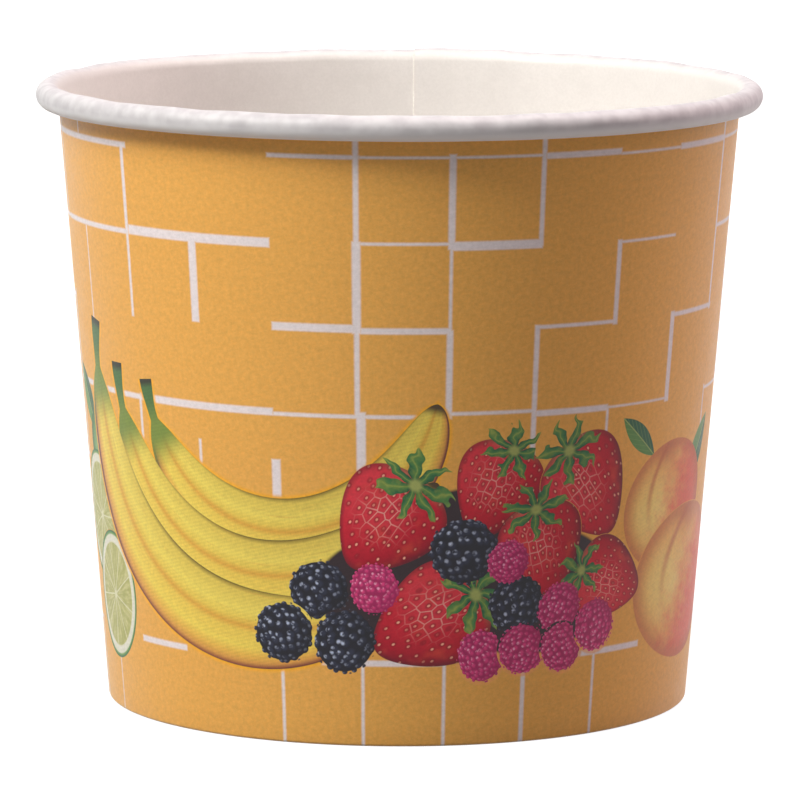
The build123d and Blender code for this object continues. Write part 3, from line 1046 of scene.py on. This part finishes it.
def buildSideWall():
    samples = wallSamples()
    columns = wallColumns()
    count = len(samples)
    partStart = {}
    for number, sample in enumerate(samples):
        partStart.setdefault(sample["part"], number)
    for number in range(partStart["brim"], partStart["tuck"]):
        samples[number]["swing"] = (number - partStart["brim"]) / (partStart["tuck"] - partStart["brim"])
    foot = samples[partStart["wall"]]
    printStart = partStart["wall"] - bakeMap["foldRows"]
    strips = bakeMap["strips"]
    stripStarts = [round(len(columns) * share / strips) for share in range(strips + 1)]

    def pick(rows, columns, i, j):   # 0 is the raw edge, 1 the coated face, and the panels start at 2
        if j == count - 1 or j == 2 * count - 1:
            return 0
        here, after = columns[i], columns[(i + 1) % len(columns)]
        inside = j >= count
        if here[1] == "before" and after[1] == "after" and inside == (here[0] < lapEnd + 1.0):
            return 0
        if inside:
            return 1
        (left, low), (right, high) = (
            mapCorner("printMap", rows, columns, (i, j), corner) for corner in ((i, j), (i + 1, j + 1)))
        return 2 + panelOf((left + right) / 2, (low + high) / 2)

    def mapCorner(title, rows, columns, face, corner):
        i, j = corner
        azimuth = columns[i][0] if i < len(columns) else columns[0][0] + 360.0
        if title == "printMap":
            front, period = printSize["frontAzimuth"], printSize["period"]
            repeats = math.floor((columns[face[0]][0] - front + period / 2) / period)
            across = math.radians(azimuth - front - period * repeats) * printSize["reach"]
            length = rows[min(j, len(rows) - 1)][0]["length"] - foot["length"]
            return across, (foot["point"].y + length * math.cos(math.radians(lean))) * millimetres
        margin = bakeMap["margin"]
        if printStart <= face[1] < partStart["brim"]:
            strip = next(k for k in range(strips) if face[0] < stripStarts[k + 1])
            low, high = (columns[min(stripStarts[k], len(columns) - 1)][0] for k in (strip, strip + 1))
            share = (azimuth - low) / (high - low)
            rise = (j - printStart) / (partStart["brim"] - printStart)
            (width, height), (pitchAcross, pitchUp) = bakeMap["strip"], bakeMap["stripPitch"]
            return (margin + pitchAcross * (strip % 2) + width * share,
                    margin + bakeMap["bandPitch"] + pitchUp * (strip // 2) + height * rise)
        share = (azimuth - lapStart) / 360.0
        return margin + (1.0 - 2 * margin) * share, margin + bakeMap["bandHeight"] * j / len(rows)

    panels = [printedFace(panel) for panel in range(panelGrid["across"] * panelGrid["up"])]
    paint = {"materials": [rawEdge(), coatedFace(), *panels], "pick": pick}
    return sweepSheet("sideWall", samples, sideWall["board"], columns, wallLift, paint, mapCorner)


bottomDisc = {
    "board": 0.00040,
    "underside": 0.0070,
    "bend": 0.00025,        # inside radius where the disc turns down
    "glue": 0.00002,
    "skirtFoot": 0.00048,   # height of the skirt's raw edge
    "columns": 240,
    "steps": {"disc": 14, "bend": 8, "skirt": 4},
    "mapRadius": 38.0,      # millimetres
    "bakeMiddles": (0.25, 0.75),   # of the lower and the upper face on the map for baking
    "bakeReach": 0.24,
}


def buildBottomDisc():
    board = bottomDisc["board"]
    up = 90.0 - lean
    tilt = math.cos(math.radians(lean))
    radius = bottomDisc["bend"] + board / 2
    turn = 180.0 - up
    inner = Vector((sideWall["baseRadius"] - sideWall["board"] / tilt, 0.0))
    foot = inner + heading(up + 90.0) * (bottomDisc["glue"] + board / 2)
    middle = bottomDisc["underside"] + board / 2
    drop = radius * (1 - math.cos(math.radians(turn)))
    top = foot + heading(up) * ((middle - drop - foot.y) / tilt)
    run = top.x - radius * math.sin(math.radians(turn))
    samples = walkSheet(Vector((0.0, middle)), 0.0, [
        ("disc", run, bottomDisc["steps"]["disc"]),
        ("bend", radius, -turn, bottomDisc["steps"]["bend"]),
        ("skirt", (top.y - bottomDisc["skirtFoot"]) / tilt, bottomDisc["steps"]["skirt"]),
    ])
    columns = [(360.0 * number / bottomDisc["columns"], "") for number in range(bottomDisc["columns"])]

    def lift(sample, side, azimuth):
        return 0.0

    def pick(rows, columns, i, j):   # 0 is the plain board, 1 the raw edge
        return 1 if rows[j][0]["part"] == "end" and rows[j][1] < 0 else 0

    def mapCorner(title, rows, columns, face, corner):
        i, j = corner
        azimuth = math.radians(columns[i][0] if i < len(columns) else 360.0)
        length = rows[min(j, len(rows) - 1)][0]["length"]
        if title == "printMap":
            return azimuth * bottomDisc["mapRadius"], length * millimetres
        middle = bottomDisc["bakeMiddles"][0 if face[1] < len(samples) else 1]
        reach = bottomDisc["bakeReach"] * length / samples[-1]["length"]
        return middle + reach * math.cos(azimuth), 0.5 + reach * math.sin(azimuth)

    paint = {"materials": [plainBoard(), rawEdge()], "pick": pick}
    return sweepSheet("bottomDisc", samples, board, columns, lift, paint, mapCorner)


wallPiece = buildSideWall()
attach(wallPiece, "root")
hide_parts("side_wall")
print("side wall:", len(wallPiece.data.polygons), "faces")

bottomPiece = buildBottomDisc()
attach(bottomPiece, "root")
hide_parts("bottom_disc")
print("bottom disc:", len(bottomPiece.data.polygons), "faces")


# Studio

white = (1.0, 1.0, 1.0, 1.0)
warmWhite = (1.0, 0.98, 0.93)
studio = {
    "floorSize": 6.0,
    "floorColour": (0.2, 0.2, 0.2, 1.0),
    "floorRoughness": 0.9,
    "floorGlow": (0.9, 1.0),        # near the cup, and far out where the lamps don't reach
    "floorGlowReach": (0.1, 0.7),   # metres from the cup between which it changes
    "backGlow": (0.04, 0.9),        # how bright the near and the far half of the room are in reflections
    "backGlowReach": (0.0, 0.9),
    "lamps": {   # each from an azimuth, front to right, and an elevation, in degrees
        "key": {"from": (-60.0, 50.0), "size": 0.84, "share": 0.73, "tint": warmWhite},
        "keyLow": {"from": (-60.0, 40.0), "size": 0.6, "share": 0.38, "tint": warmWhite},
        "front": {"from": (-30.0, 40.0), "size": 2.0, "share": 0.18, "tint": (1.0, 0.95, 0.91)},
        "side": {"from": (105.0, 33.0), "size": 2.0, "share": 0.62, "tint": (1.0, 0.78, 0.77)},
        "sideHigh": {"from": (105.0, 72.0), "size": 0.84, "share": 0.42, "tint": (1.0, 0.87, 0.86)},
    },
    "lampDistance": 1.8,
    "aimHeight": 0.045,
}


def addFloor():
    half = studio["floorSize"] / 2
    mesh = bpy.data.meshes.new("floor")
    corners = [(-half, -half, 0), (half, -half, 0), (half, half, 0), (-half, half, 0)]
    mesh.from_pydata(corners, [], [(0, 1, 2, 3)])
    material, s, shader = newMaterial("floorPaper")
    mesh.materials.append(material)
    light = s.add("ShaderNodeLightPath").outputs
    seen = s.math("MAXIMUM", light["Is Camera Ray"], light["Is Glossy Ray"])
    reach = s.vector("LENGTH", s.add("ShaderNodeTexCoord").outputs["Object"])
    glow = s.fade(reach, *studio["floorGlowReach"], *studio["floorGlow"])
    s.fill(shader, {"Base Color": studio["floorColour"], "Roughness": studio["floorRoughness"],
                    "Emission Color": white, "Emission Strength": s.times(seen, glow)})
    addObject("floor", mesh)


def addWorld():
    world = bpy.data.worlds.new("studioWorld")
    world.use_nodes = True
    bpy.context.scene.world = world
    s = Sketch(world.node_tree)
    light = s.add("ShaderNodeLightPath").outputs
    way = s.add("ShaderNodeTexCoord").outputs["Generated"]
    glow = s.fade(s.along(way, "y"), *studio["backGlowReach"], *studio["backGlow"])
    glow = s.times(glow, light["Is Glossy Ray"])
    seen = s.math("MAXIMUM", light["Is Camera Ray"], light["Is Transmission Ray"])
    strength = s.mix(seen, glow, 1.0, "FLOAT")
    s.fill(world.node_tree.nodes["Background"], {"Color": white, "Strength": strength})


def addLamp(name, lamp):
    azimuth, elevation = (math.radians(angle) for angle in lamp["from"])
    away = Vector((math.sin(azimuth) * math.cos(elevation), -math.cos(azimuth) * math.cos(elevation),
                   math.sin(elevation)))
    data = bpy.data.lights.new(name, "AREA")
    data.shape, data.size, data.color = "DISK", lamp["size"], lamp["tint"]
    data.energy = lamp["share"] * (math.pi * studio["lampDistance"]) ** 2   # 1 lights white paper to white
    made = addObject(name, data)
    made.location = Vector((0.0, 0.0, studio["aimHeight"])) + away * studio["lampDistance"]
    made.rotation_euler = (-away).to_track_quat("-Z", "Y").to_euler()


camera = {
    "place": (0.0, -0.84699, 0.16216),
    "pitch": 8.256,     # degrees down
    "roll": 0.1948,     # degrees
    "lens": 289.74,
    "sensor": 36.0,
    "shift": 0.002225,
    "clip": (0.05, 20.0),
}


def addCamera():
    data = bpy.data.cameras.new("camera")
    data.sensor_width, data.lens, data.shift_x = camera["sensor"], camera["lens"], camera["shift"]
    data.clip_start, data.clip_end = camera["clip"]
    made = addObject("camera", data)
    turns = [Matrix.Rotation(math.radians(angle), 4, axis)
             for angle, axis in ((90.0 - camera["pitch"], "X"), (camera["roll"], "Z"))]
    made.matrix_world = Matrix.Translation(camera["place"]) @ turns[0] @ turns[1]
    bpy.context.scene.camera = made


addFloor()
addWorld()
for lampName, lampSettings in studio["lamps"].items():
    addLamp(lampName, lampSettings)
addCamera()
bpy.context.scene.view_settings.view_transform = "Standard"
print("studio set")
